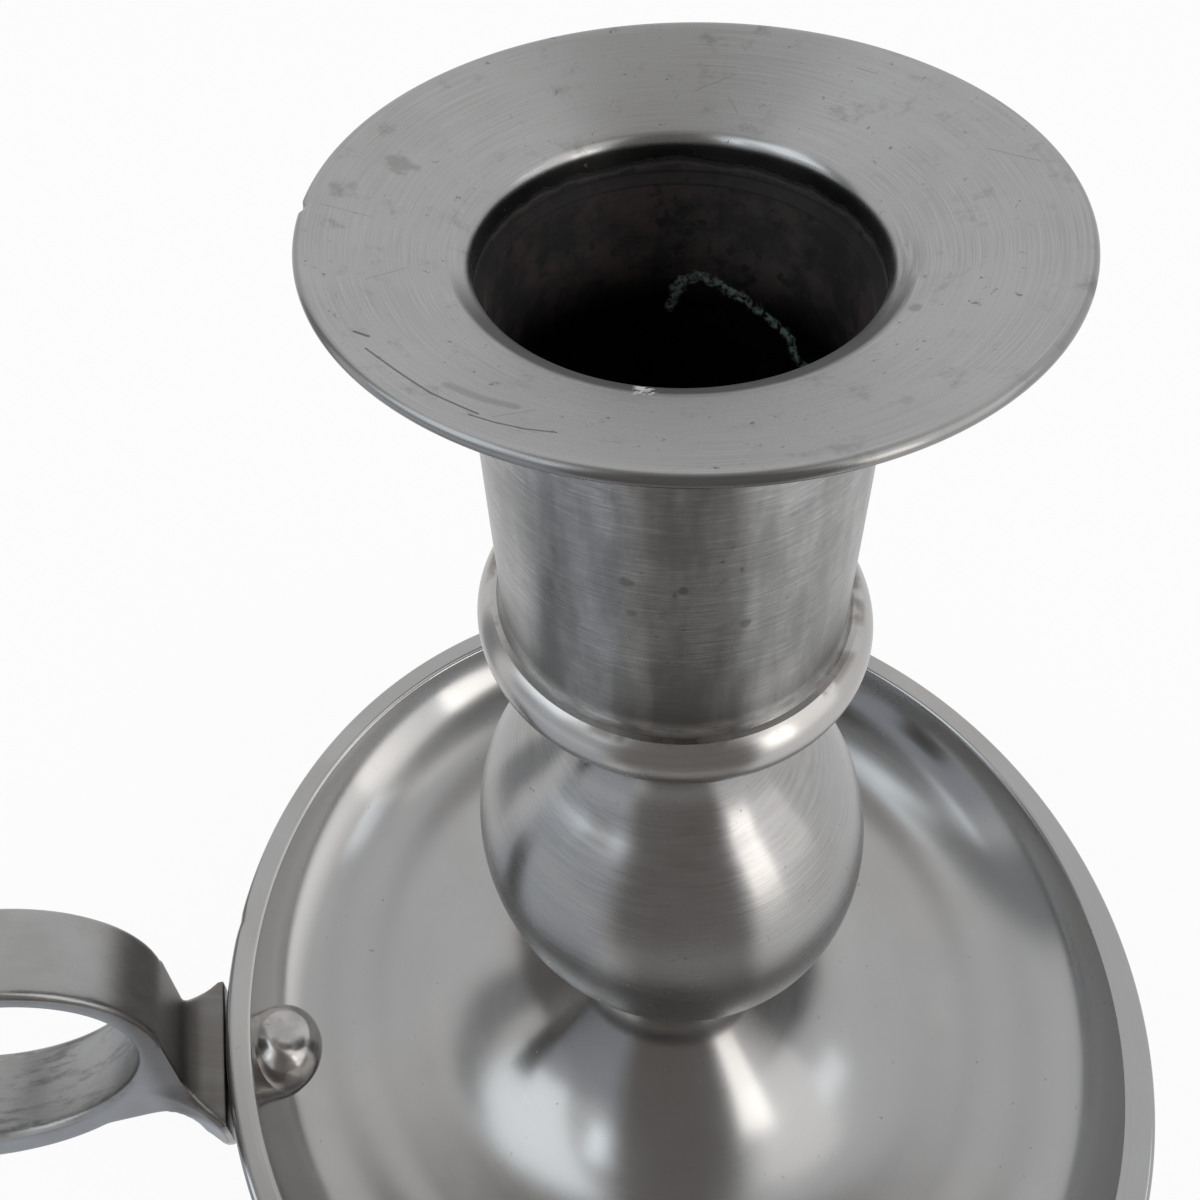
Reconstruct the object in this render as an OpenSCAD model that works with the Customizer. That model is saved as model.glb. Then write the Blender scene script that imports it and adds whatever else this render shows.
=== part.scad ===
// Chamberstick: a dished pan with a raised trumpet foot, a turned knop, a flanged
// candle socket and a cast finger ring riveted to the rim.
// Origin: centre of the base where it stands. +Z up. The handle points along -X.

/* [Overall] */
// Height from the table to the rim of the drip flange
stick_h = 100; // [94:0.5:110]

/* [Pan] */
// Radius of the pan over its rim
pan_r = 43.3; // [41:0.1:55]
// Height of the rim above the table
pan_h = 11.7; // [10.8:0.1:16]
// Width of the flat top of the rim
lip_w = 3; // [2:0.1:4]
// Radius that softens the inner edge of the rim
lip_round = 0.8; // [0.3:0.1:1.2]
// Radius that softens the outer edge of the rim
rim_round = 0.5; // [0.2:0.1:1]
// Lean of the inner wall away from upright, in degrees
wall_lean = 20; // [14:1:24]
// Radius of the fillet between the inner wall and the floor
floor_fillet = 8.5; // [7.5:0.1:9]
// Radius of the turned corner under the pan
base_round = 7; // [5:0.1:8]
// Height of the floor's upper face above the table
floor_z = 2.4; // [2:0.1:3.5]
// Depth of the relief under the floor, which leaves a standing ring
foot_relief = 0.8; // [0.4:0.1:1.2]
// Width of the standing ring
foot_w = 5; // [3:0.5:8]

/* [Trumpet foot] */
// Radius of the trumpet where it meets the knop
neck_r = 7; // [6.6:0.1:9]
// Radius of the trumpet's hollow curve
trumpet_curve = 18; // [14:0.5:20]
// Wall of the trumpet
trumpet_t = 1.7; // [1.2:0.1:1.8]
// Height of the seat on top of the trumpet
seat_z = 22.7; // [21.5:0.1:25]
// Thickness of the seat
seat_t = 3; // [2:0.1:4]

/* [Knop] */
// Radius of the ball
ball_r = 15.9; // [14:0.1:17]
// Height of the ball's centre above the trumpet's seat
ball_rise = 15.2; // [13.5:0.1:16.5]
// Radius of the waist between the ball and the bead
waist_r = 8; // [7:0.1:10]
// Radius of the hollow curve from the ball into the waist
waist_curve = 7.5; // [5:0.1:9]
// Radius of the hollow curve from the waist out to the bead
cove_r = 3.4; // [2:0.1:3.5]
// Radius of the bead, from the axis to the middle of its round
bead_r = 11.4; // [11.2:0.1:12]
// Radius of the bead's round section
bead_round = 2.4; // [2.2:0.1:3]
// How far the bead's top stands above the socket's seat
bead_lap = 0.4; // [0.2:0.1:0.8]

/* [Candle socket] */
// Radius of the candle bore
bore_r = 11; // [10:0.1:11.2]
// Radius of the bore's turned mouth
mouth_r = 11.5; // [11.3:0.1:11.7]
// Height of the turned mouth, below the rounded throat
mouth_h = 1.9; // [1:0.1:3]
// Depth of the bore, from the rounded throat down to its floor
bore_depth = 23; // [18:0.5:24]
// Height of the socket from its seat to the flange's rim
socket_h = 32.5; // [31:0.1:36]
// Outer radius of the cup under the flange
cup_top_r = 12.5; // [12.2:0.1:13.5]
// Outer radius of the cup at its foot, above the little flare
cup_foot_r = 11.95; // [11.6:0.05:12.2]
// How far the foot flares out onto its seat
foot_flare = 0.35; // [0.1:0.05:0.6]
// Height of the little flare
flare_h = 1.8; // [1:0.1:3]
// Radius of the drip flange
flange_r = 21; // [19:0.1:24]
// Thickness of the drip flange
flange_t = 0.8; // [0.7:0.1:1.2]
// Slope of the dished flange, in degrees
flange_slope = 20; // [16:0.5:22]
// Radius of the rounded throat
throat_round = 0.9; // [0.5:0.1:1.1]
// Radius of the fillet under the flange
under_fillet = 1.2; // [0.8:0.1:1.4]
// Radius of the spigot under the socket
spigot_r = 6; // [5:0.1:7]
// Length of the spigot
spigot_h = 2; // [1.5:0.1:3]

/* [Tie rod] */
// Radius of the tie rod
rod_r = 2.5; // [2:0.1:2.8]
// How far the rod is let into the socket's floor
rod_bite = 5; // [4:0.1:5.5]
// How far the rod stands out below its nut
rod_tail = 1.4; // [0.5:0.1:3]
// Width of the nut across its flats
nut_flats = 8; // [7.5:0.1:8.8]
// Height of the nut
nut_h = 4; // [3:0.1:5]
// Radius of the washer
washer_r = 4.8; // [4.4:0.1:5]
// Thickness of the washer
washer_t = 1; // [0.6:0.1:1.4]
// Radial clearance of the rod in the knop and the seat
rod_clear = 0.3; // [0.1:0.05:0.5]
// Radial clearance of fitted cylinders
fit_clear = 0.05; // [0.03:0.01:0.1]

/* [Handle] */
// Radius of the finger hole
finger_r = 12.4; // [11:0.1:13]
// Distance from the pan's rim to the near edge of the finger hole
finger_gap = 5.4; // [4.6:0.1:7]
// Height of the finger hole's centre above the table
finger_z = 24.2; // [23:0.1:28]
// Width of the ring's band
band_w = 7.7; // [6:0.1:9]
// Thickness of the band at its top
band_top_t = 2.2; // [1.8:0.1:3]
// Thickness of the band at its bottom
band_low_t = 3.7; // [3:0.1:4.2]
// Thickness of the band beside the rim
band_near_t = 2.2; // [1.8:0.1:2.6]
// Radius that softens the band's edges
band_round = 0.6; // [0.3:0.1:0.9]
// Width of the root where it meets the rim
root_w = 13.2; // [12:0.1:16]
// Thickness of the root at its middle
root_t = 3; // [2.4:0.1:3.4]
// Thickness of the root's wings at their tips
wing_t = 0.7; // [0.5:0.1:1.2]
// Thickness of the root's lower edge
root_edge_t = 0.6; // [0.4:0.1:1.2]
// Height of the root's lower edge above the table
root_low = 4.6; // [3.8:0.1:5]
// Height of the chamfer on the back of the root
root_chamfer = 2.2; // [1.6:0.1:2.3]
// How far the root's top lies below the top of the rim
root_drop = 0.5; // [0.3:0.1:1]
// Radius of the root's corners, seen from the rim
root_corner = 2.6; // [1.5:0.1:3]
// Radius of the hollow flare from the band to the root's wings, seen from above
root_flare = 9; // [8:0.5:11]
// Height of the web's underside above the table, from the root to the ring
web_low = 10.3; // [10.2:0.1:10.7]
// Radius of the hollow between the web and the back of the root
root_hollow = 3.4; // [2:0.1:3.4]
// Radius of the hollow sweep from the band down to the root's top
root_sweep = 5; // [4.5:0.1:6]

/* [Rivet] */
// Radius of the rivet's shank
rivet_r = 1.7; // [1.2:0.1:2]
// Radius of the rivet's domed head
rivet_head_r = 4; // [3.6:0.1:4.3]
// Height of the rivet's dome
rivet_dome = 4.4; // [3.6:0.1:4.6]
// Height of the rivet above the table
rivet_z = 7.5; // [7:0.1:7.7]

/* [Hidden] */
$fn = 96;
// How far shapes that are joined or cut run into or past each other
over = 1;

silver = "#a9abad";
dark_silver = "#7d7f80";
steel = "#8b8e92";

// Pan: the leaning wall runs from the rim's inner corner down to its tangent
// point on the floor fillet
lip_in = pan_r - lip_w;
fillet_z = floor_z + floor_fillet;
fillet_x = lip_in - (pan_h - fillet_z) * tan(wall_lean) - floor_fillet / cos(wall_lean);
wall_x = fillet_x + floor_fillet * cos(wall_lean);
wall_z = fillet_z - floor_fillet * sin(wall_lean);
dish_top = pan_h + over;
lip_x = lip_in + lip_round * (1 - sin(wall_lean)) / cos(wall_lean);
trumpet_x = neck_r + trumpet_curve;
trumpet_z = floor_z + trumpet_curve;
foot_out = pan_r - base_round;
cap_z = seat_z - seat_t;

// Knop
ball_z = seat_z + ball_rise;
socket_z = stick_h - socket_h;
bead_z = socket_z + bead_lap - bead_round;
waist_x = waist_r + waist_curve;
waist_z = ball_z + sqrt(pow(ball_r + waist_curve, 2) - pow(waist_x, 2));
cove_z = bead_z - bead_round - cove_r;

// Socket: the flange is a straight cone around a middle line through the
// centre of its rounded edge; the throat and the fillet below are tangent to it
edge_x = flange_r - flange_t / 2;
edge_z = stick_h - flange_t / 2;
throat_x = mouth_r + throat_round;
under_x = cup_top_r + under_fillet;
throat_z = cone_z(throat_x, flange_t / 2 - throat_round);
under_z = cone_z(under_x, -flange_t / 2 - under_fillet);
mouth_z = throat_z - mouth_h;
bore_floor = throat_z - bore_depth;

// Tie rod
rod_top = socket_z - spigot_h + rod_bite;
nut_z = cap_z - washer_t - nut_h;

// Handle
hole_x = -(pan_r + finger_gap + finger_r);
band_r = finger_r + (band_top_t + band_low_t) / 2;
band_z = finger_z + (band_top_t - band_low_t) / 2;
band_x = hole_x + finger_r + band_near_t - band_r;
band_near_x = -(pan_r + finger_gap - band_near_t);
face_x = -(pan_r + fit_clear);
root_top = pan_h - root_drop;
wing_w = (root_w - band_w) / 2;
sweep_z = root_top + arc_run(root_sweep, face_x - band_near_x);
flare_z = root_top + arc_run(root_sweep, wing_w);
flare_x = face_x - wing_t - arc_run(root_flare, wing_w);

// Rivet: the head lies square on the floor fillet at the rivet's height
seat_tilt = asin((fillet_z - rivet_z) / floor_fillet);
head_seat_x = fillet_x + floor_fillet * cos(seat_tilt);
head_ball_r = (pow(rivet_head_r, 2) + pow(rivet_dome, 2)) / (2 * rivet_dome);

// How far an arc of radius r has run when it has strayed by d from its tangent
function arc_run(r, d) = sqrt(pow(r, 2) - pow(r - d, 2));

// Height at x of a line that runs beside the flange's middle line, rise above it
function cone_z(x, rise) = edge_z - (edge_x - x) * tan(flange_slope) + rise / cos(flange_slope);

// The point at distance r from [x, z], square to the flange's slope
function square_off(x, z, r) = [x - r * sin(flange_slope), z + r * cos(flange_slope)];

// What a fillet of radius r adds in an inside corner at the origin, towards +X and +Y
module corner_fillet(r) {
    difference() {
        square(r);
        translate([r, r]) circle(r);
    }
}

// What is cut from an outside corner at the origin to round it, towards -X and -Y
module corner_round(r) {
    difference() {
        translate([-r, -r]) square(r + over);
        translate([-r, -r]) circle(r);
    }
}

// The air inside the dish, c away from its floor and its leaning wall
module dish_profile(c) {
    translate([0, floor_z + c]) square([fillet_x, dish_top - floor_z - c]);
    translate([fillet_x, fillet_z]) circle(floor_fillet - c);
    polygon([
        [fillet_x - over, wall_z + c * sin(wall_lean)],
        [wall_x - c * cos(wall_lean), wall_z + c * sin(wall_lean)],
        [wall_x - c / cos(wall_lean) + (dish_top - wall_z) * tan(wall_lean), dish_top],
        [fillet_x - over, dish_top]
    ]);
}

// What rounds the rim's inner corner, between its flat top and the leaning wall
module lip_corner() {
    difference() {
        polygon([
            [lip_x, pan_h - lip_round],
            [lip_x, dish_top],
            [fillet_x, dish_top],
            [lip_x - lip_round * cos(wall_lean), pan_h - lip_round * (1 - sin(wall_lean))]
        ]);
        translate([lip_x, pan_h - lip_round]) circle(lip_round);
    }
}

// The trumpet: a neck that sweeps out in one hollow curve, t inside its face
module trumpet_profile(t, top) {
    difference() {
        translate([0, floor_z - t]) square([trumpet_x, top - floor_z + t]);
        translate([trumpet_x, trumpet_z]) circle(trumpet_curve + t);
        translate([neck_r - t, trumpet_z]) square([trumpet_x, top]);
    }
}

// Turned pan with its raised trumpet foot
module pan() {
    color(silver)
    difference() {
        rotate_extrude(angle = 360)
        difference() {
            union() {
                difference() {
                    square([pan_r, pan_h]);
                    dish_profile(0);
                    lip_corner();
                    translate([pan_r, 0]) mirror([0, 1]) corner_round(base_round);
                    translate([pan_r, pan_h]) corner_round(rim_round);
                }
                trumpet_profile(0, seat_z);
            }
            intersection() {
                trumpet_profile(trumpet_t, cap_z);
                square([trumpet_x, cap_z]);
            }
            translate([0, -over]) square([foot_out - foot_w, foot_relief + over]);
        }
        translate([0, 0, cap_z - over])
            cylinder(r = rod_r + rod_clear, h = seat_t + 2 * over);
        translate([face_x - over, 0, rivet_z]) rotate([0, 90, 0])
            cylinder(r = rivet_r + fit_clear, h = 2 * over - face_x - fillet_x);
    }
}

// Outline of the turned knop: ball, waist and bead
module knop_profile() {
    intersection() {
        union() {
            translate([0, seat_z]) square([neck_r, ball_rise]);
            translate([0, ball_z]) circle(ball_r);
            difference() {
                polygon([[0, ball_z], [waist_x, waist_z], [0, waist_z]]);
                translate([waist_x, waist_z]) circle(waist_curve);
            }
            translate([0, ball_z]) square([waist_r, socket_z - ball_z]);
            translate([0, cove_z]) difference() {
                square([waist_r + cove_r, cove_r]);
                translate([waist_r + cove_r, 0]) circle(cove_r);
            }
            translate([bead_r, bead_z]) circle(bead_round);
            translate([0, bead_z - bead_round]) square([bead_r, 2 * bead_round]);
        }
        translate([0, seat_z]) square([2 * ball_r, socket_z - seat_z]);
    }
}

// Knop turned from one casting, drilled through for the tie rod
module stem_knop() {
    color(silver)
    difference() {
        rotate_extrude(angle = 360) knop_profile();
        translate([0, 0, seat_z - over])
            cylinder(r = rod_r + rod_clear, h = socket_z - seat_z + 2 * over);
        translate([0, 0, socket_z - spigot_h - fit_clear])
            cylinder(r = spigot_r + fit_clear, h = spigot_h + over);
    }
}

// Outline of the socket: cup, rounded throat and dished drip flange
module socket_profile() {
    difference() {
        union() {
            polygon([
                [0, socket_z],
                [cup_foot_r + foot_flare, socket_z],
                [cup_foot_r, socket_z + flare_h],
                [cup_top_r, under_z],
                [under_x, under_z],
                square_off(under_x, under_z, under_fillet),
                square_off(edge_x, edge_z, -flange_t / 2),
                square_off(edge_x, edge_z, flange_t / 2),
                square_off(throat_x, throat_z, throat_round),
                [mouth_r, throat_z],
                [0, throat_z]
            ]);
            translate([0, socket_z - spigot_h]) square([spigot_r, spigot_h + over]);
            intersection() {
                translate([throat_x, throat_z]) circle(throat_round);
                polygon([
                    [throat_x, throat_z],
                    square_off(throat_x, throat_z, 2 * throat_round),
                    [0, stick_h],
                    [0, throat_z]
                ]);
            }
            translate([edge_x, edge_z]) circle(flange_t / 2);
        }
        translate([0, bore_floor]) square([bore_r, stick_h]);
        polygon([
            [0, mouth_z - mouth_r],
            [mouth_r, mouth_z],
            [mouth_r, stick_h],
            [0, stick_h]
        ]);
        translate([under_x, under_z]) circle(under_fillet);
    }
}

// Candle socket: cup with its floor, spigot and drip flange in one casting
module candle_socket() {
    color(silver)
    difference() {
        rotate_extrude(angle = 360) socket_profile();
        translate([0, 0, socket_z - spigot_h - over])
            cylinder(r = rod_r + fit_clear, h = rod_bite + fit_clear + over);
    }
}

// Threaded rod, hidden in the stem, that ties socket, knop and pan together
module tie_rod() {
    color(steel)
    translate([0, 0, nut_z - rod_tail]) cylinder(r = rod_r, h = rod_top - nut_z + rod_tail);
}

// Hexagon nut under the seat, its corners turned down
module rod_nut() {
    corner_r = nut_flats / 2 / cos(30);
    color(steel)
    translate([0, 0, nut_z]) difference() {
        intersection() {
            cylinder(r = corner_r, h = nut_h, $fn = 6);
            cylinder(r1 = nut_flats / 2, r2 = nut_flats / 2 + nut_h, h = nut_h);
        }
        translate([0, 0, -over]) cylinder(r = rod_r + fit_clear, h = nut_h + 2 * over);
    }
}

// Flat washer between the nut and the seat
module rod_washer() {
    color(steel)
    translate([0, 0, cap_z - washer_t]) difference() {
        cylinder(r = washer_r, h = washer_t);
        translate([0, 0, -over]) cylinder(r = rod_r + rod_clear, h = washer_t + 2 * over);
    }
}

// A disc of radius r and width w along Y, with its two edges rounded
module soft_disc(r, w, edge) {
    rotate([90, 0, 0]) rotate_extrude(angle = 360) translate([0, -w / 2]) union() {
        square([r - edge, w]);
        translate([0, edge]) square([r, w - 2 * edge]);
        translate([r - edge, edge]) circle(edge);
        translate([r - edge, w - edge]) circle(edge);
    }
}

// The finger hole, w wide along Y, whose two mouths flare out by the edge radius
module soft_hole(r, w, edge) {
    rotate([90, 0, 0]) rotate_extrude(angle = 360) translate([0, -w / 2]) union() {
        translate([0, -over]) square([r, w + 2 * over]);
        difference() {
            translate([0, -over]) square([r + edge, over + edge]);
            translate([r + edge, edge]) circle(edge);
        }
        difference() {
            translate([0, w - edge]) square([r + edge, over + edge]);
            translate([r + edge, w - edge]) circle(edge);
        }
    }
}

// Side view of the root and of the web that joins it to the finger ring
module root_side() {
    polygon([
        [face_x, root_low],
        [face_x - root_edge_t, root_low],
        [face_x - root_t, root_low + root_chamfer],
        [face_x - root_t, web_low],
        [hole_x, web_low],
        [hole_x, band_z],
        [band_near_x, band_z],
        [band_near_x, root_top],
        [face_x, root_top]
    ]);
    translate([face_x - root_t, web_low]) mirror([1, 0]) mirror([0, 1]) corner_fillet(root_hollow);
    difference() {
        translate([band_near_x - over, root_top - over])
            square([over + face_x - band_near_x, over + sweep_z - root_top]);
        translate([band_near_x + root_sweep, sweep_z]) circle(root_sweep);
    }
}

// Plan of the root: the band's width, flaring in two hollow curves to the wings
module root_plan() {
    translate([hole_x, -band_w / 2]) square([face_x - hole_x, band_w]);
    difference() {
        translate([flare_x, -root_w / 2]) square([face_x - flare_x, root_w]);
        for (side = [-1, 1])
            translate([flare_x, side * (band_w / 2 + root_flare)]) circle(root_flare);
    }
}

// The root as seen from the rim: rounded lower corners, and above a hollow sweep
// from the wings in to the band's width
module root_front() {
    r = root_corner;
    translate([r - root_w / 2, root_low]) square([root_w - 2 * r, root_top - root_low]);
    translate([-root_w / 2, root_low + r]) square([root_w, root_top - root_low - r]);
    translate([-band_w / 2, root_low]) square([band_w, band_z - root_low]);
    difference() {
        translate([-root_w / 2, root_top - over])
            square([root_w, over + flare_z - root_top]);
        for (side = [-1, 1])
            translate([side * (band_w / 2 + root_sweep), flare_z]) circle(root_sweep);
    }
    for (side = [-1, 1])
        translate([side * (root_w / 2 - r), root_low + r]) circle(r);
}

// The root: its side view, plan and front view, each drawn out through the others
module root() {
    intersection() {
        translate([0, root_w, 0]) rotate([90, 0, 0])
            linear_extrude(height = 2 * root_w) root_side();
        linear_extrude(height = stick_h) root_plan();
        translate([hole_x, 0, 0]) rotate([90, 0, 90])
            linear_extrude(height = -hole_x) root_front();
    }
}

// Cast handle: the finger ring and the root that spreads against the rim
module handle() {
    color(dark_silver)
    difference() {
        union() {
            translate([band_x, 0, band_z]) soft_disc(band_r, band_w, band_round);
            root();
        }
        translate([hole_x, 0, finger_z]) soft_hole(finger_r, band_w, band_round);
        translate([hole_x + finger_r, 0, rivet_z]) rotate([0, 90, 0])
            cylinder(r = rivet_r + fit_clear, h = finger_r);
    }
}

// Rivet through wall and root: a domed head hammered onto the dish's curved
// wall, and a tail filed flush with the back of the root
module handle_rivet() {
    color(silver)
    union() {
        intersection() {
            translate([-head_seat_x, 0, rivet_z]) rotate([0, -seat_tilt, 0])
                translate([rivet_dome - head_ball_r, 0, 0]) sphere(head_ball_r);
            rotate_extrude(angle = 360) dish_profile(fit_clear);
        }
        intersection() {
            translate([hole_x + finger_r, 0, rivet_z]) rotate([0, 90, 0])
                cylinder(r = rivet_r, h = -hole_x - finger_r - head_seat_x + rivet_dome / 2);
            translate([0, rivet_head_r, 0]) rotate([90, 0, 0])
                linear_extrude(height = 2 * rivet_head_r) union() {
                    root_side();
                    translate([face_x - over, 0]) square([pan_r, pan_h]);
                }
        }
    }
}

pan();
stem_knop();
candle_socket();
tie_rod();
rod_nut();
rod_washer();
handle();
handle_rivet();
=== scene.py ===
import math
import random

import bmesh
import bpy
from mathutils import Matrix, Vector, noise


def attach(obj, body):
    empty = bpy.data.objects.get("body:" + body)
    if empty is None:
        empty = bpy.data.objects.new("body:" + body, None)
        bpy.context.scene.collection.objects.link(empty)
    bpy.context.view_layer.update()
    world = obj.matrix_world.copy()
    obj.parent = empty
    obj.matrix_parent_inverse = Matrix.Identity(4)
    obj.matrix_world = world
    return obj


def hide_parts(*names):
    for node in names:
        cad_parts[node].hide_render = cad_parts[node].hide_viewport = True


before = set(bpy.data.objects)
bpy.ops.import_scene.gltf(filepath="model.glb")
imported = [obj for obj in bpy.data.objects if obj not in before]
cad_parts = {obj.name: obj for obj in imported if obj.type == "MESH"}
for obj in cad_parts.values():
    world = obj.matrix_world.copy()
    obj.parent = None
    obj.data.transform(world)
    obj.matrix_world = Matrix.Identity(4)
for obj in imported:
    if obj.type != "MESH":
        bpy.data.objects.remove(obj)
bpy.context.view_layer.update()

# The pan: one turned casting with a flat-topped rim, a dished floor and a raised
# trumpet foot. It is a silver-grey copper alloy, turned on a lathe, so every mark of
# the tool runs round the axis.
MM = 0.001
TURNS = 288


class Outline:
    """Half of a turned piece's section in the XZ plane, drawn in millimetres."""

    def __init__(self, x, z):
        self.bm = bmesh.new()
        self.tip = self.bm.verts.new((x * MM, 0, z * MM))

    def line(self, x, z, steps=1):
        """A straight run to x, z."""
        start = self.tip.co.copy()
        end = Vector((x * MM, 0, z * MM))
        for i in range(1, steps + 1):
            made = bmesh.ops.extrude_vert_indiv(self.bm, verts=[self.tip])
            self.tip = made["verts"][0]
            self.tip.co = start.lerp(end, i / steps)
        return self

    def arc(self, x, z, degrees, steps):
        """A round about x, z: positive turns from up towards the right."""
        made = bmesh.ops.spin(
            self.bm, geom=[self.tip], cent=(x * MM, 0, z * MM), axis=(0, 1, 0),
            angle=math.radians(degrees), steps=steps)
        self.tip = next(g for g in made["geom_last"] if isinstance(g, bmesh.types.BMVert))
        return self

    def turn(self):
        """The solid of revolution about Z."""
        bmesh.ops.remove_doubles(self.bm, verts=self.bm.verts[:], dist=1e-7)
        bmesh.ops.spin(
            self.bm, geom=self.bm.verts[:] + self.bm.edges[:], cent=(0, 0, 0),
            axis=(0, 0, 1), angle=math.tau, steps=TURNS, use_merge=True)
        bmesh.ops.remove_doubles(self.bm, verts=self.bm.verts[:], dist=1e-7)
        bmesh.ops.recalc_face_normals(self.bm, faces=self.bm.faces[:])
        return self.bm


def dent(bm, centre, radius, push):
    """Moves the metal near a point, most at the point and none at the radius."""
    centre = Vector(centre) * MM
    push = Vector(push) * MM
    for v in bm.verts:
        near = 1 - (v.co - centre).length / (radius * MM)
        if near > 0:
            v.co += push * near * near * (3 - 2 * near)


def finish_piece(name, bm, material, slot, *nodes):
    """Makes the object of a modelled piece, which stands for the CAD nodes."""
    mesh = bpy.data.meshes.new(name)
    bm.to_mesh(mesh)
    bm.free()
    mesh.set_sharp_from_angle(angle=math.radians(32))
    mesh.materials.append(material)
    piece = bpy.data.objects.new(name, mesh)
    bpy.context.scene.collection.objects.link(piece)
    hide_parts(*nodes)
    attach(piece, "root")
    return piece


class Field:
    """A value over the surface. Arithmetic on it adds Math nodes to its finish."""

    def __init__(self, finish, socket):
        self.finish = finish
        self.socket = socket

    def math(self, operation, *others):
        return self.finish.node("ShaderNodeMath", [self, *others], operation=operation)

    def __add__(self, other):
        return self.math("ADD", other)

    __radd__ = __add__

    def __sub__(self, other):
        return self.math("SUBTRACT", other)

    def __rsub__(self, other):
        return self.finish.node("ShaderNodeMath", [other, self], operation="SUBTRACT")

    def __mul__(self, other):
        return self.math("MULTIPLY", other)

    __rmul__ = __mul__

    def __truediv__(self, other):
        return self.math("DIVIDE", other)

    def __pow__(self, other):
        return self.math("POWER", other)

    def ramp(self, low, high):
        """0 below low, 1 above high and a smooth step between; low may be above high."""
        return self.finish.node(
            "ShaderNodeMapRange", [self, low, high, 0.0, 1.0], interpolation_type="SMOOTHSTEP")

    def band(self, low, high, soft):
        """1 between low and high, falling away over soft on either side."""
        return self.ramp(low - soft, low) * self.ramp(high + soft, high)

    def near(self, value, width):
        """1 at a value, falling to 0 at width from it."""
        return (self - value).math("ABSOLUTE").ramp(width, 0.0)


class Tree:
    """The nodes of a material or of the world."""

    def __init__(self, holder):
        holder.use_nodes = True
        self.material = self.world = holder
        self.tree = holder.node_tree
        self.tree.nodes.clear()

    def node(self, kind, inputs=(), output=0, **settings):
        """Adds a node: its settings first, then the values or links of its sockets."""
        made = self.tree.nodes.new(kind)
        for key, value in settings.items():
            setattr(made, key, value)
        named = inputs.items() if isinstance(inputs, dict) else enumerate(inputs)
        for key, value in named:
            if isinstance(value, Field):
                self.tree.links.new(value.socket, made.inputs[key])
            else:
                made.inputs[key].default_value = value
        return Field(self, made.outputs[output] if made.outputs else None)


class Finish(Tree):
    """A metal's material, in millimetres on the piece itself."""

    def __init__(self, name):
        super().__init__(bpy.data.materials.new(name))
        place = self.node("ShaderNodeTexCoord", output="Object")
        self.place = self.node("ShaderNodeVectorMath", [place, (1000, 1000, 1000)], operation="MULTIPLY")
        self.x, self.y, self.z = [
            self.node("ShaderNodeSeparateXYZ", [self.place], output=axis) for axis in "XYZ"]
        self.r = (self.x * self.x + self.y * self.y).math("SQRT")

    def noise(self, where, scale, detail=4.0, rough=0.55, w=None):
        """Cloudy noise about 0.5, scale cells to a millimetre."""
        inputs = {"Vector": where, "Scale": scale, "Detail": detail, "Roughness": rough}
        if w is None:
            return self.node("ShaderNodeTexNoise", inputs)
        inputs["W"] = w
        return self.node("ShaderNodeTexNoise", inputs, noise_dimensions="4D")

    def stretch(self, x, y, z, turn=(0, 0, 0)):
        """The place on the piece, turned and stretched for a pattern with a grain."""
        return self.node("ShaderNodeMapping", {
            "Vector": self.place, "Rotation": [math.radians(a) for a in turn],
            "Scale": (x, y, z)}, vector_type="TEXTURE")

    def around(self, reach):
        """The direction from the axis, so that noise on it runs round without a seam."""
        return self.node("ShaderNodeCombineXYZ", [self.x / self.r * reach, self.y / self.r * reach, 0.0])

    def mix(self, fac, a, b, blend="MIX"):
        """Colour a turning to colour b where fac is 1."""
        return self.node("ShaderNodeMix", {0: fac, 6: a, 7: b}, output=2,
                         data_type="RGBA", blend_type=blend)

    def spot(self, x, y, z, reach):
        """A ragged spot: 1 at the place and 0 at that reach from it."""
        far = self.node("ShaderNodeVectorMath", [self.place, (x, y, z)], output="Value",
                        operation="DISTANCE")
        return (far + (self.noise(self.place, 1.1) - 0.5) * reach * 1.6).ramp(reach, reach * 0.55)

    def stroke(self, start, end, width, u=None, v=None):
        """A straight stroke on the plane of u and v, which are x and y unless given."""
        du, dv = end[0] - start[0], end[1] - start[1]
        far = du * du + dv * dv
        a = (self.x if u is None else u) - start[0]
        b = (self.y if v is None else v) - start[1]
        t = (a * (du / far) + b * (dv / far)).math("MAXIMUM", 0.0).math("MINIMUM", 1.0)
        a, b = a - t * du, b - t * dv
        return (a * a + b * b).math("SQRT").ramp(width, width * 0.3)

    def strokes(self, points, width, u=None, v=None):
        """Strokes from each point to the next."""
        pairs = list(zip(points, points[1:]))
        drawn = self.stroke(*pairs[0], width, u, v)
        for pair in pairs[1:]:
            drawn = drawn.math("MAXIMUM", self.stroke(*pair, width, u, v))
        return drawn

    def close(self, color, rough, height, depth_mm, brushed=0.0, metallic=1.0):
        """Joins colour, roughness and relief to the metal; brushed is how far a highlight
        stretches across the tool marks."""
        bump = self.node("ShaderNodeBump", {"Height": height, "Strength": 1.0, "Distance": depth_mm * MM},
                         output="Normal")
        metal = self.node("ShaderNodeBsdfPrincipled", {
            "Base Color": color, "Metallic": metallic, "Roughness": rough, "Normal": bump,
            "Anisotropic": brushed, "Anisotropic Rotation": 0.25 if brushed else 0.0})
        self.node("ShaderNodeOutputMaterial", [metal])
        return self.material


def grey(value, warm=0.0):
    """A metal's colour: value is its green, warm tips it from blue towards red."""
    return (value * (1 + warm), value, value * (1 - warm), 1.0)


def turned(finish, fine, coarse):
    """Tool marks that run round the axis, fine and coarse, in rings to a millimetre."""
    way = finish.around(1.5)
    along = finish.r + finish.z * 1.31
    thin = finish.noise(way, 2.0, detail=2.0, w=along * fine)
    wide = finish.noise(way, 1.0, detail=2.0, w=along * coarse)
    return thin, wide


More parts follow.
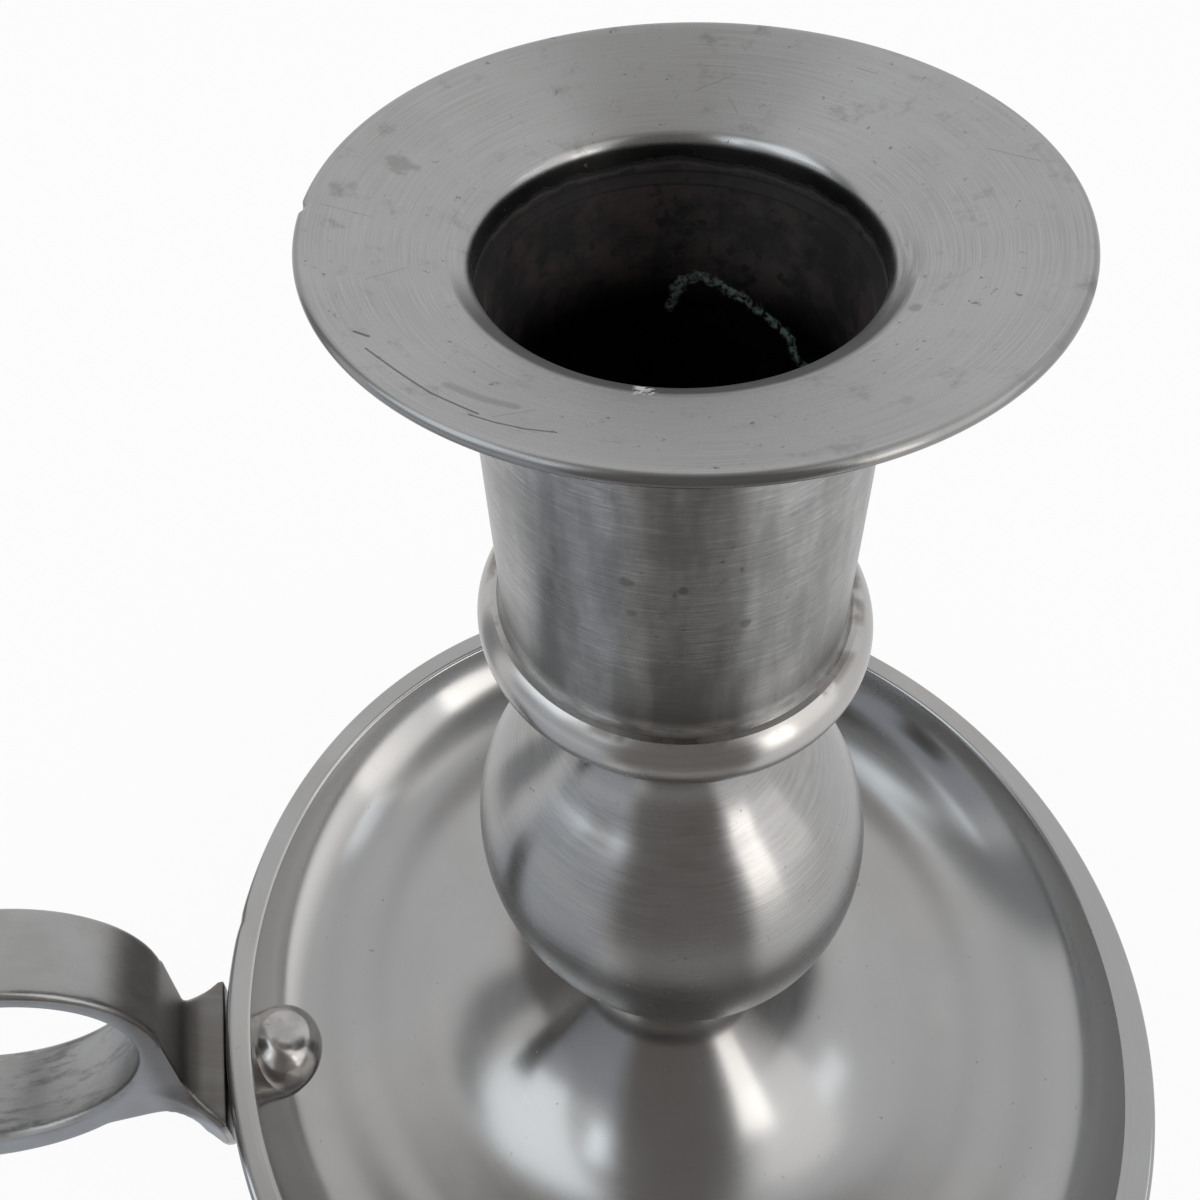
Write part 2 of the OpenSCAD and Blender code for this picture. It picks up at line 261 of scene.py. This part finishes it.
def pan_finish():
    f = Finish("pan_metal")
    thin, wide = turned(f, 5.0, 1.1)
    cloud = f.noise(f.place, 0.09, detail=5.0)
    spots = f.noise(f.place, 1.3, detail=3.0).ramp(0.70, 0.78)
    film = f.noise(f.place, 0.035, detail=3.0, rough=0.5)
    color = f.mix(cloud.ramp(0.35, 0.7), grey(0.31, 0.03), grey(0.365, 0.015))
    color = f.mix(film.ramp(0.42, 0.62) * 0.6, color, grey(0.32, -0.02))
    color = f.mix(spots * 0.45, color, grey(0.12, 0.1))
    color = f.mix((thin - 0.5) * 0.5 + 0.25, color, grey(0.37))
    # Painted light: the dish's inner wall on the left, from the rivet backwards, is lightened as if lit there.
    painted_light_left_wall = f.r.ramp(36.5, 38.8) * f.r.ramp(41.2, 40.7) * f.x.ramp(-16.0, -34.0) * f.y.ramp(-4.5, -1.0)
    color = f.mix(painted_light_left_wall * 0.8, color, grey(0.66, 0.02))
    # Painted light: the neck of the foot, under the ball, is lightened.
    color = f.mix(f.r.ramp(8.8, 7.6) * 0.8, color, grey(0.62, 0.02))
    deep = f.r.ramp(8.4, 7.2) * f.z.ramp(22.0, 22.6) * 0.4
    color = f.mix(deep * f.noise(f.place, 0.5).ramp(0.35, 0.6), color, grey(0.12, 0.12))
    rough = 0.21 - f.r.ramp(34.0, 38.5) * 0.06 + (cloud - 0.5) * 0.1 + (thin - 0.5) * 0.05 + spots * 0.2
    height = thin * 0.55 + wide * 0.3 - spots * 0.15
    return f.close(color, rough, height, 0.0013, brushed=0.3)


pan = Outline(2.8, 22.7)
pan.line(6.7, 22.7, 2).arc(6.7, 22.4, 90, 4).line(7, 20.4, 3).line(7.011, 16.095, 4)
pan.arc(16.914, 17.487, -30, 24).arc(40.554, 35.956, -7, 16).arc(25, 20.4, -45, 36)
pan.line(27.9, 2.4, 4).arc(27.9, 16.2, -69, 60).line(40.806, 11.315, 2).arc(41.366, 11.1, 69, 8)
pan.line(42.8, 11.7, 4).arc(42.8, 11.2, 90, 6).line(43.3, 7, 8).arc(36.3, 7, 90, 24)
pan.line(31.3, 0, 5).line(31.3, 0.8, 2).line(23.02, 0.8, 8)
pan.arc(25, 20.4, 82.2, 40).line(5.31, 19.7).line(2.8, 19.7, 3).line(2.8, 22.7, 3)
pan_bm = pan.turn()
dent(pan_bm, (43.2 * math.cos(2.86), 43.2 * math.sin(2.86), 11.7), 1.4, (0.12, -0.03, -0.10))
finish_piece("turned_pan", pan_bm, pan_finish(), "pan_metal", "pan")


# The knop: ball, waist and bead turned from one casting and polished harder than the
# pan, with tarnish left where a cloth doesn't reach. The waist under the bead has
# painted shade, and the bead's top and the ball's underside have painted light.
def knop_finish():
    f = Finish("knop_metal")
    thin, wide = turned(f, 5.5, 1.4)
    cloud = f.noise(f.place, 0.13, detail=5.0)
    spots = f.noise(f.place, 1.6, detail=3.0).ramp(0.69, 0.76)
    color = f.mix(cloud.ramp(0.35, 0.7), grey(0.285, 0.025), grey(0.35, 0.005))
    color = f.mix(spots * 0.5, color, grey(0.10, 0.12))
    color = f.mix(thin.ramp(0.3, 0.75) * 0.8, color, grey(0.38))
    patch = f.noise(f.place, 0.32, detail=5.0)
    crease = f.z.ramp(67.0, 67.45) * patch.ramp(0.45, 0.62)
    # Painted shade: the waist under the bead is darkened, broken up by noise.
    under = f.z.band(56.5, 63.4, 1.2) * patch.ramp(0.3, 0.6)
    # Painted highlight: the upper part of the bead is lightened.
    color = f.mix(f.z.ramp(63.8, 65.5) * 0.5, color, grey(0.50, 0.03))
    color = f.mix(crease * 0.45, color, (0.13, 0.10, 0.08, 1))
    color = f.mix(under * 0.7, color, grey(0.10, 0.10))
    # Painted light: the underside of the ball is lightened.
    color = f.mix(f.z.ramp(27.0, 24.5) * 0.7, color, grey(0.60, 0.02))
    foot = f.z.ramp(23.3, 22.9) * 0.4
    color = f.mix(foot, color, grey(0.08, 0.05))
    rough = 0.25 + (cloud - 0.5) * 0.12 + (thin - 0.5) * 0.1 + spots * 0.2 + (crease + under + foot) * 0.25
    height = thin * 0.55 + wide * 0.3 - spots * 0.15
    return f.close(color, rough, height, 0.002, brushed=0.8)


knop = Outline(2.8, 22.7)
knop.line(6.85, 22.7, 2).line(7, 22.85).line(7, 23.624, 2).arc(0, 37.9, -112.41, 96)
knop.arc(15.5, 55.43, 48.52, 32).line(8, 59.7, 6).arc(11.4, 59.7, 90, 16)
knop.arc(11.4, 65.5, -146.44, 36).line(6.05, 67.5, 8).line(6.05, 65.45, 2).line(2.8, 65.45, 2)
knop.line(2.8, 22.7, 12)
finish_piece("turned_knop", knop.turn(), knop_finish(), "knop_metal", "stem_knop")


# The candle socket: cup and dished drip flange in one casting. The throat is turned
# clean, and the bore below it is still as it came from the mould, black with old soot;
# deeper down it is painted black as the shade inside it.
def socket_finish():
    f = Finish("socket_metal")
    thin, wide = turned(f, 6.0, 1.6)
    cloud = f.noise(f.place, 0.16, detail=6.0)
    spots = f.noise(f.place, 1.5, detail=4.0).ramp(0.66, 0.74) * f.noise(f.place, 0.12).ramp(0.45, 0.6)
    color = f.mix(cloud.ramp(0.3, 0.72), grey(0.28, 0.012), grey(0.33, 0.0))
    color = f.mix(thin.ramp(0.3, 0.7), color, grey(0.36))
    cup = f.z.ramp(96.0, 94.0)
    lines = f.noise(f.around(3.0), 1.6, detail=3.0, rough=0.7, w=(f.r + f.z * 1.31) * 2.4)
    color = f.mix(lines.ramp(0.5, 0.68) * cup * 0.45, color, grey(0.19))
    color = f.mix(lines.ramp(0.5, 0.32) * cup * 0.6, color, grey(0.50))
    color = f.mix(spots * 0.55, color, grey(0.10, 0.05))
    top = (f.z - f.r * 0.2655).ramp(93.3, 93.6)
    flecks = f.noise(f.stretch(1.2, 0.7, 1, (0, 0, 35)), 1.5, detail=4.0, rough=0.7).ramp(0.65, 0.72)
    flecks = flecks * f.noise(f.place, 0.16, detail=1.0).ramp(0.46, 0.6) * top
    smears = f.noise(f.place, 0.42, detail=5.0, rough=0.7).ramp(0.55, 0.75)
    color = f.mix(smears * 0.6, color, grey(0.19, 0.02))
    # Painted light: the cup is lightened towards its foot.
    color = f.mix(f.z.ramp(74.0, 70.5) * 0.55, color, grey(0.50, 0.02))
    color = f.mix(flecks * 0.7, color, grey(0.09, 0.03))

    # Old knocks on the flange, and what fell on it.
    cut = f.strokes([(-17.9, -7.5), (-16.6, -9.5), (-15.3, -11.4), (-13.4, -13.3)], 0.09)
    cut = cut.math("MAXIMUM", f.strokes([(-13.8, -13.4), (-12.8, -14.1), (-11.5, -14.8), (-10.2, -15.2)], 0.08))
    cut = cut.math("MAXIMUM", f.stroke((-18.3, -6.0), (-17.7, -6.3), 0.16))
    faint = f.strokes([(-14.4, -10.6), (-12.9, -11.9), (-11.6, -12.6)], 0.42)
    chance = random.Random(11)
    hair = faint * 0.5
    for _ in range(7):
        bearing, reach = chance.uniform(0, math.tau), chance.uniform(13.5, 20)
        lean, long = chance.uniform(0, math.pi), chance.uniform(1.2, 4.5)
        x, y = reach * math.cos(bearing), reach * math.sin(bearing)
        hair = hair.math("MAXIMUM", f.stroke(
            (x, y), (x + long * math.cos(lean), y + long * math.sin(lean)), 0.06))
    stain = f.spot(9.5, -9.4, 97.5, 0.5) + f.spot(6.8, -18.9, 99.2, 0.6) + f.spot(-14, 10.1, 98.3, 1.3)
    stain = stain + f.spot(-17.8, 7.4, 98.8, 1.2) + f.spot(-18.7, 4.1, 98.8, 0.9) + f.spot(3.6, -15.9, 97.9, 0.6)
    stain = stain + f.spot(18.4, -5.1, 98.8, 0.5) + f.spot(20.1, 4.9, 99.2, 0.5) + f.spot(16.4, -13, 99.2, 1.1)
    stain = (stain * 0.6).math("MINIMUM", 1.0) * top
    chip = (f.spot(-5.1, -11.4, 96.9, 0.75) + f.spot(4.3, -17.0, 98.3, 0.34)).math("MINIMUM", 1.0)
    chip = chip * f.noise(f.place, 3.5, detail=2.0).ramp(0.45, 0.55)
    # Painted shade: the flange's rounded outer edge is darkened.
    color = f.mix(f.r.ramp(20.55, 20.8) * 0.45, color, grey(0.15))
    marks = f.spot(-5.93, -10.7, 82.2, 0.5) + f.spot(-5.72, -10.75, 79.4, 0.4)
    marks = marks + f.spot(0.64, -12.13, 78.2, 0.45) + f.spot(-2.96, -11.87, 81.9, 0.35)
    color = f.mix(marks.math("MINIMUM", 1.0) * 0.6, color, (0.09, 0.085, 0.075, 1))
    color = f.mix(stain * 0.5, color, grey(0.11, 0.05))
    color = f.mix(cut * top * 0.7, color, grey(0.07, 0.03))
    color = f.mix(faint * top * 0.3, color, grey(0.15))
    color = f.mix(hair * top * 0.35, color, grey(0.14))
    color = f.mix(chip, color, grey(0.75))

    # The bore is rough brown cast skin below a clean ringed throat. A green and white
    # crust of old wax and verdigris runs across its wall.
    edge = f.z + (f.noise(f.place, 0.5) - 0.5) * 1.1
    inside = edge.ramp(95.3, 94.5) * f.r.ramp(12.1, 11.8)
    throat = f.r.ramp(12.5, 11.9) * f.z.ramp(96.7, 95.7) * (1 - inside)
    # Painted shade: the flange next to the throat is darkened on its near side, broken up by rings.
    front = f.r.ramp(13.6, 12.2) * f.y.ramp(0.0, -8.0) * f.noise(f.around(3.0), 1.5, w=f.r * 3).ramp(0.35, 0.6)
    color = f.mix(front * 0.55, color, grey(0.12, 0.02))
    color = f.mix(throat * thin.ramp(0.35, 0.7) * 0.6, color, (0.14, 0.145, 0.12, 1))
    grime = f.noise(f.place, 0.35, detail=6.0, rough=0.65)
    soot_and_shade = f.mix(grime.ramp(0.35, 0.65), (0.008, 0.007, 0.008, 1), (0.042, 0.029, 0.027, 1))
    soot_and_shade = f.mix(f.noise(f.place, 0.8, detail=4.0).ramp(0.55, 0.66), soot_and_shade, (0.006, 0.005, 0.006, 1))
    # Painted shade: deeper in the bore the colour turns nearly black.
    soot_and_shade = f.mix(f.z.ramp(88.5, 84.0) * 0.93, soot_and_shade, (0.002, 0.002, 0.002, 1))
    color = f.mix(inside, color, soot_and_shade)
    # Painted shade: a nearly black line where the throat meets the cast skin, and on the step below it.
    ledge = edge.near(94.95, 0.5) + f.z.band(93.6, 94.3, 0.15)
    color = f.mix(ledge.math("MINIMUM", 1.0) * f.r.ramp(11.75, 11.55) * 0.8, color, (0.006, 0.005, 0.005, 1))
    unrolled = f.y.math("ARCTAN2", f.x) * 11 + (f.noise(f.place, 1.4) - 0.5) * 1.0
    height_in = f.z + (f.noise(f.place, 1.7) - 0.5) * 1.2
    crust = f.strokes([(14.3, 83.6), (13.6, 85.8), (12.0, 86.4), (9.2, 85.0), (5.6, 83.4), (5.2, 82.2),
                       (4.2, 81.8)], 0.55, unrolled, height_in)
    crust = crust * f.noise(f.place, 2.6, detail=4.0).ramp(0.36, 0.6) * f.r.ramp(11.6, 11.2) * f.x.ramp(0.0, 1.0)
    color = f.mix(crust, color, (0.17, 0.22, 0.19, 1))
    rough = 0.26 + (cloud - 0.5) * 0.12 + (thin - 0.5) * 0.1 + (spots + flecks + stain + cut) * 0.2
    # Painted shade: the throat's rounded lip is turned nearly black on its near side, and made duller.
    near = f.r.ramp(12.9, 12.5) * f.z.ramp(95.5, 96.0) * (f.y + f.x * 0.3).ramp(-2.0, -8.0)
    color = f.mix(near * (1 - inside) * (1 - chip) * 0.85, color, (0.02, 0.018, 0.016, 1))
    rough = rough + inside * 0.45 + near * 0.2 - throat * 0.04 + cup * (1 - inside) * 0.04
    height = thin * 0.5 + wide * 0.25 - (spots + flecks) * 0.6 - cut * top * 6 - hair * top * 1.2
    height = height + chip * 8 + inside * (grime - 0.5) * 22 + crust * 22
    return f.close(color, rough, height, 0.002, brushed=0.8,
                   metallic=1 - (inside * f.z.ramp(84.0, 90.0) * 0.8).math("MAXIMUM", near * (1 - chip) * 0.8))


socket = Outline(0, 70.55)
socket.line(2.55, 70.55, 2).line(2.55, 65.5, 2).line(5.8, 65.5, 2).line(6, 65.7).line(6, 67.5)
socket.line(12.3, 67.5, 4).line(12.08, 68.1).line(11.97, 68.8).line(11.97, 69.3)
socket.line(12.5, 95.386, 24).arc(13.7, 95.386, 70, 12).line(20.737, 99.224, 16)
socket.arc(20.6, 99.6, -180, 16).line(12.092, 96.929, 20).arc(12.4, 96.083, -70, 12)
socket.line(11.5, 94.183, 6).line(11, 93.683, 3).line(11, 73.083, 48).line(0, 73.083, 6)
socket_bm = socket.turn()
dent(socket_bm, (-20.2, 5.7, 99.9), 0.7, (0.25, -0.05, -0.16))
finish_piece("turned_socket", socket_bm, socket_finish(), "socket_metal", "candle_socket")


# The handle: a finger ring cast in sand with the root that spreads against the rim.
# Its edges are soft, its inner face is left rough, and its sides are filed flat.
def cast_copy(node, grain):
    """A CAD node's shape in an even skin of small faces, softened as a casting is."""
    bm = bmesh.new()
    bm.from_mesh(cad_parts[node].data)
    bmesh.ops.remove_doubles(bm, verts=bm.verts[:], dist=1e-7)
    mesh = bpy.data.meshes.new(node + "_skin")
    bm.to_mesh(mesh)
    bm.free()
    rough = bpy.data.objects.new(node + "_skin", mesh)
    bpy.context.scene.collection.objects.link(rough)
    skin = rough.modifiers.new("skin", "REMESH")
    skin.mode = "VOXEL"
    skin.voxel_size = grain * MM
    seen = rough.evaluated_get(bpy.context.evaluated_depsgraph_get())
    bm = bmesh.new()
    bm.from_mesh(seen.to_mesh())
    seen.to_mesh_clear()
    bpy.data.objects.remove(rough)
    bpy.data.meshes.remove(mesh)
    return bm


def handle_finish():
    f = Finish("handle_metal")
    cloud = f.noise(f.place, 0.16, detail=5.0)
    grain = f.noise(f.stretch(3, 1, 3), 1.1, detail=4.0)
    dx, dz = f.x + 61.1, f.z - 24.2
    reach = (dx * dx + dz * dz).math("SQRT")
    inner = reach.ramp(12.9, 12.5)
    band = reach.ramp(14.2, 14.9)
    along = f.node("ShaderNodeCombineXYZ", [dx / reach * 2.4, dz / reach * 2.4, f.y * 0.9])
    streak = f.noise(along, 1.3, detail=5.0, rough=0.65)
    brush = f.noise(f.stretch(1, 9, 1), 1.6, detail=3.0)
    color = f.mix(cloud.ramp(0.3, 0.7), grey(0.26, 0.02), grey(0.33, 0.0))
    color = f.mix((grain - 0.5) * 0.6 + 0.3, color, grey(0.36))
    color = f.mix(inner * streak.ramp(0.47, 0.72) * 0.6, color, grey(0.07, 0.08))
    # Painted shade: the top of the root, where the ring meets it, is darkened and streaked by noise.
    root = f.x.ramp(-50.0, -47.5) * f.z.ramp(9.0, 11.0)
    color = f.mix(root * (0.45 + streak * 0.5), color, grey(0.085, 0.12))
    rough = 0.27 + (cloud - 0.5) * 0.14 + inner * 0.06 + root * 0.1
    height = grain * 0.5 + brush * band * 0.8 + inner * streak * 2.5
    return f.close(color, rough, height, 0.003)


handle_bm = cast_copy("handle", 0.2)
for _ in range(4):
    bmesh.ops.smooth_vert(handle_bm, verts=handle_bm.verts[:], factor=0.5, use_axis_x=True,
                          use_axis_y=True, use_axis_z=True)
finish_piece("cast_handle", handle_bm, handle_finish(), "handle_metal", "handle")


# The rivet: a dome hammered down inside the dish's wall and rubbed smooth, with a tail
# filed flush on the handle's side.
def rivet_finish():
    f = Finish("rivet_metal")
    cloud = f.noise(f.place, 0.35, detail=4.0)
    grain = f.noise(f.place, 1.2, detail=3.0)
    color = f.mix(cloud.ramp(0.35, 0.7), grey(0.30, 0.03), grey(0.42, 0.03))
    color = f.mix(grain.ramp(0.6, 0.75) * 0.5, color, grey(0.09, 0.1))
    # Painted shade: the foot of the dome, against the dish's wall, is darkened.
    low = f.z.ramp(6.6, 5.2)
    color = f.mix(low * 0.6, color, grey(0.07, 0.1))
    rough = 0.22 + (grain - 0.5) * 0.12 + low * 0.2
    return f.close(color, rough, grain, 0.012)


HEAD = Vector((-38.5, 0.45, 7.65)) * MM
HEAD_R = 3.9 * MM
UPWARD = Vector((0.34, 0.10, 0.93))
rivet_bm = bmesh.new()
rivet_bm.from_mesh(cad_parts["handle_rivet"].data)
bmesh.ops.remove_doubles(rivet_bm, verts=rivet_bm.verts[:], dist=1e-7)
for v in rivet_bm.verts:
    if v.co.x > HEAD.x - HEAD_R:
        v.co = HEAD.lerp(v.co, 0.8)
dome = bmesh.ops.create_uvsphere(rivet_bm, u_segments=72, v_segments=48, radius=HEAD_R,
                                 matrix=Matrix.Translation(HEAD))
for v in dome["verts"]:
    over = (v.co - HEAD).dot(UPWARD) / HEAD_R - 0.78
    if over > 0:
        v.co -= UPWARD * over * over * 1.6 * HEAD_R
bmesh.ops.recalc_face_normals(rivet_bm, faces=rivet_bm.faces[:])
finish_piece("domed_rivet", rivet_bm, rivet_finish(), "rivet_metal", "handle_rivet")


# The tie rod with its nut and washer: dull drawn steel, hidden in the stem and under
# the foot, with a little rust.
def steel_finish(name, dark):
    f = Finish(name)
    cloud = f.noise(f.place, 0.4, detail=5.0)
    thin = f.noise(f.stretch(1, 1, 8), 2.0)
    color = f.mix(cloud.ramp(0.35, 0.7), grey(dark, 0.01), grey(dark * 1.4))
    color = f.mix(cloud.ramp(0.58, 0.7) * 0.6, color, (0.16, 0.07, 0.03, 1))
    return f.close(color, 0.38 + (cloud - 0.5) * 0.2, thin, 0.004)


for node, dark in (("tie_rod", 0.24), ("rod_nut", 0.28), ("rod_washer", 0.32)):
    steel = steel_finish(node + "_steel", dark)
    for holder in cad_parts[node].material_slots:
        holder.material = steel


# The studio: a white floor in a white room, a narrow warm window on the right, a cool
# one high on the left, and a dim side of the room behind the camera and to its left.
ROOM = 1.0
DAYLIGHT = 0.62


def white_to_camera(f, shader, amount):
    """The shader, turned to white by that amount where the camera or a metal looks."""
    ways = [f.node("ShaderNodeLightPath", output=way)
            for way in ("Is Camera Ray", "Is Glossy Ray", "Is Transmission Ray")]
    return f.node("ShaderNodeMixShader", [
        (ways[0] + ways[1] + ways[2]).math("MINIMUM", 1.0) * amount, shader,
        f.node("ShaderNodeEmission", {"Color": (1, 1, 1, 1), "Strength": ROOM})])


def stage_mesh(name, bm, material):
    mesh = bpy.data.meshes.new(name)
    bm.to_mesh(mesh)
    bm.free()
    mesh.materials.append(material)
    made = bpy.data.objects.new(name, mesh)
    bpy.context.scene.collection.objects.link(made)
    return made


floor_paint = Tree(bpy.data.materials.new("floor_white"))
floor_matt = floor_paint.node("ShaderNodeBsdfDiffuse", {"Color": (0.8, 0.8, 0.8, 1)})
floor_paint.node("ShaderNodeOutputMaterial", [white_to_camera(floor_paint, floor_matt, 0.94)])
floor_bm = bmesh.new()
bmesh.ops.create_grid(floor_bm, x_segments=1, y_segments=1, size=2)
stage_mesh("floor", floor_bm, floor_paint.material)


def screen(name, azimuth, span, start, end, color, soft_right=10, soft_left=10):
    """A screen seen only in the metal. Its section runs from start to end, each a reach
    and a height in millimetres, and sweeps round the axis. It fades at its sides and
    over the last third of its section."""
    f = Finish(name)
    centre = math.radians(azimuth)
    half = span / 2
    ahead = f.x * math.cos(centre) + f.y * math.sin(centre)
    aside = f.y * math.cos(centre) - f.x * math.sin(centre)
    turn = aside.math("ARCTAN2", ahead) * math.degrees(1)
    out, rise = end[0] - start[0], end[1] - start[1]
    length = out * out + rise * rise
    along = (f.r - start[0]) * (out / length) + (f.z - start[1]) * (rise / length)
    fade = turn.ramp(-half, soft_right - half) * turn.ramp(half, half - soft_left)
    fade = fade * along.ramp(1.0, 0.67)
    clear = f.node("ShaderNodeBsdfTransparent")
    glow = f.node("ShaderNodeEmission", {"Color": (*color, 1), "Strength": 1.0})
    f.node("ShaderNodeOutputMaterial", [f.node("ShaderNodeMixShader", [fade, clear, glow])])
    bm = bmesh.new()
    bearing = centre - math.radians(half)
    ends = [bm.verts.new((reach * MM * math.cos(bearing), reach * MM * math.sin(bearing), height * MM))
            for reach, height in (start, end)]
    bm.edges.new(ends)
    bmesh.ops.spin(bm, geom=bm.verts[:] + bm.edges[:], cent=(0, 0, 0), axis=(0, 0, 1),
                   angle=math.radians(span), steps=24)
    made = stage_mesh(name, bm, f.material)
    made.visible_camera = False
    made.visible_diffuse = False
    made.visible_shadow = False


screen("dim_front", -103, 78, (100, 0.5), (100, 560), (0.25, 0.235, 0.225), 16, 9)
screen("dim_floor", -99, 74, (47, 0.6), (100, 0.6), (0.37, 0.36, 0.35), 20, 14)
screen("dim_left", -160, 70, (600, 0.5), (600, 400), (0.52, 0.55, 0.60), 12, 10)
screen("dim_floor_left", -166, 76, (47, 0.4), (230, 0.4), (0.62, 0.65, 0.70), 14, 14)
screen("dim_top", -90, 360, (1, 520), (205, 500), (0.42, 0.40, 0.39), 0.01, 0.01)
screen("dim_back_left", 151, 26, (110, 0.5), (110, 300), (0.40, 0.41, 0.42), 8, 8)

room = Tree(bpy.data.worlds.new("room"))
bpy.context.scene.world = room.world
day = room.node("ShaderNodeBackground", {"Color": (1, 1, 1.03, 1), "Strength": DAYLIGHT})
room.node("ShaderNodeOutputWorld", [white_to_camera(room, day, 1.0)])


def facing(azimuth, elevation, distance, target=(0, 0, 0.05)):
    """The place at that bearing from the stick, turned so that its back faces away."""
    a, e = math.radians(azimuth), math.radians(elevation)
    way = Vector((math.cos(a) * math.cos(e), math.sin(a) * math.cos(e), math.sin(e)))
    turn = way.to_track_quat("Z", "Y").to_matrix().to_4x4()
    return Matrix.Translation(Vector(target) + way * distance) @ turn


def window(name, azimuth, elevation, width, height, radiance, color, distance=0.6):
    """A lamp of that angular width and height, and as bright as radiance in the metal."""
    lamp = bpy.data.lights.new(name, "AREA")
    lamp.shape = "RECTANGLE"
    lamp.size = 2 * distance * math.tan(math.radians(width / 2))
    lamp.size_y = 2 * distance * math.tan(math.radians(height / 2))
    lamp.energy = radiance * math.pi * lamp.size * lamp.size_y
    lamp.color = color
    holder = bpy.data.objects.new(name, lamp)
    holder.matrix_world = facing(azimuth, elevation, distance)
    bpy.context.scene.collection.objects.link(holder)


window("window_warm", -56, 16, 15, 36, 2.3, (1.0, 0.95, 0.89))
window("wall_warm", -37, 24, 30, 70, 0.6, (1.0, 0.96, 0.92))
window("window_right", -14, 33, 12, 14, 1.1, (0.90, 0.96, 1.0))
window("window_cool", -178, 49, 30, 46, 1.1, (0.80, 0.92, 1.0))
window("pane_cool", -140, 43, 9, 18, 1.9, (0.82, 0.93, 1.0))

# The camera: close above the flange, with the frame's middle below and to the right
# of where it looks, as a crop of a wider picture has.
lens = bpy.data.cameras.new("camera")
lens.sensor_width = 36
lens.lens = 36 * 1272.93 / 1200
lens.shift_x = (600 - 466.86) / 1200
lens.shift_y = (327.62 - 600) / 1200
lens.clip_start = 0.005
camera = bpy.data.objects.new("camera", lens)
right = Vector((0.98128, -0.16948, -0.09152))
up = Vector((0.1776, 0.6123, 0.77042))
ahead = Vector((0.07453, 0.77224, -0.63094))
turn = Matrix((right, up, -ahead)).transposed().to_4x4()
camera.matrix_world = Matrix.Translation((-0.017514, -0.055546, 0.138998)) @ turn
bpy.context.scene.collection.objects.link(camera)
bpy.context.scene.camera = camera
bpy.context.scene.view_settings.view_transform = "Standard"
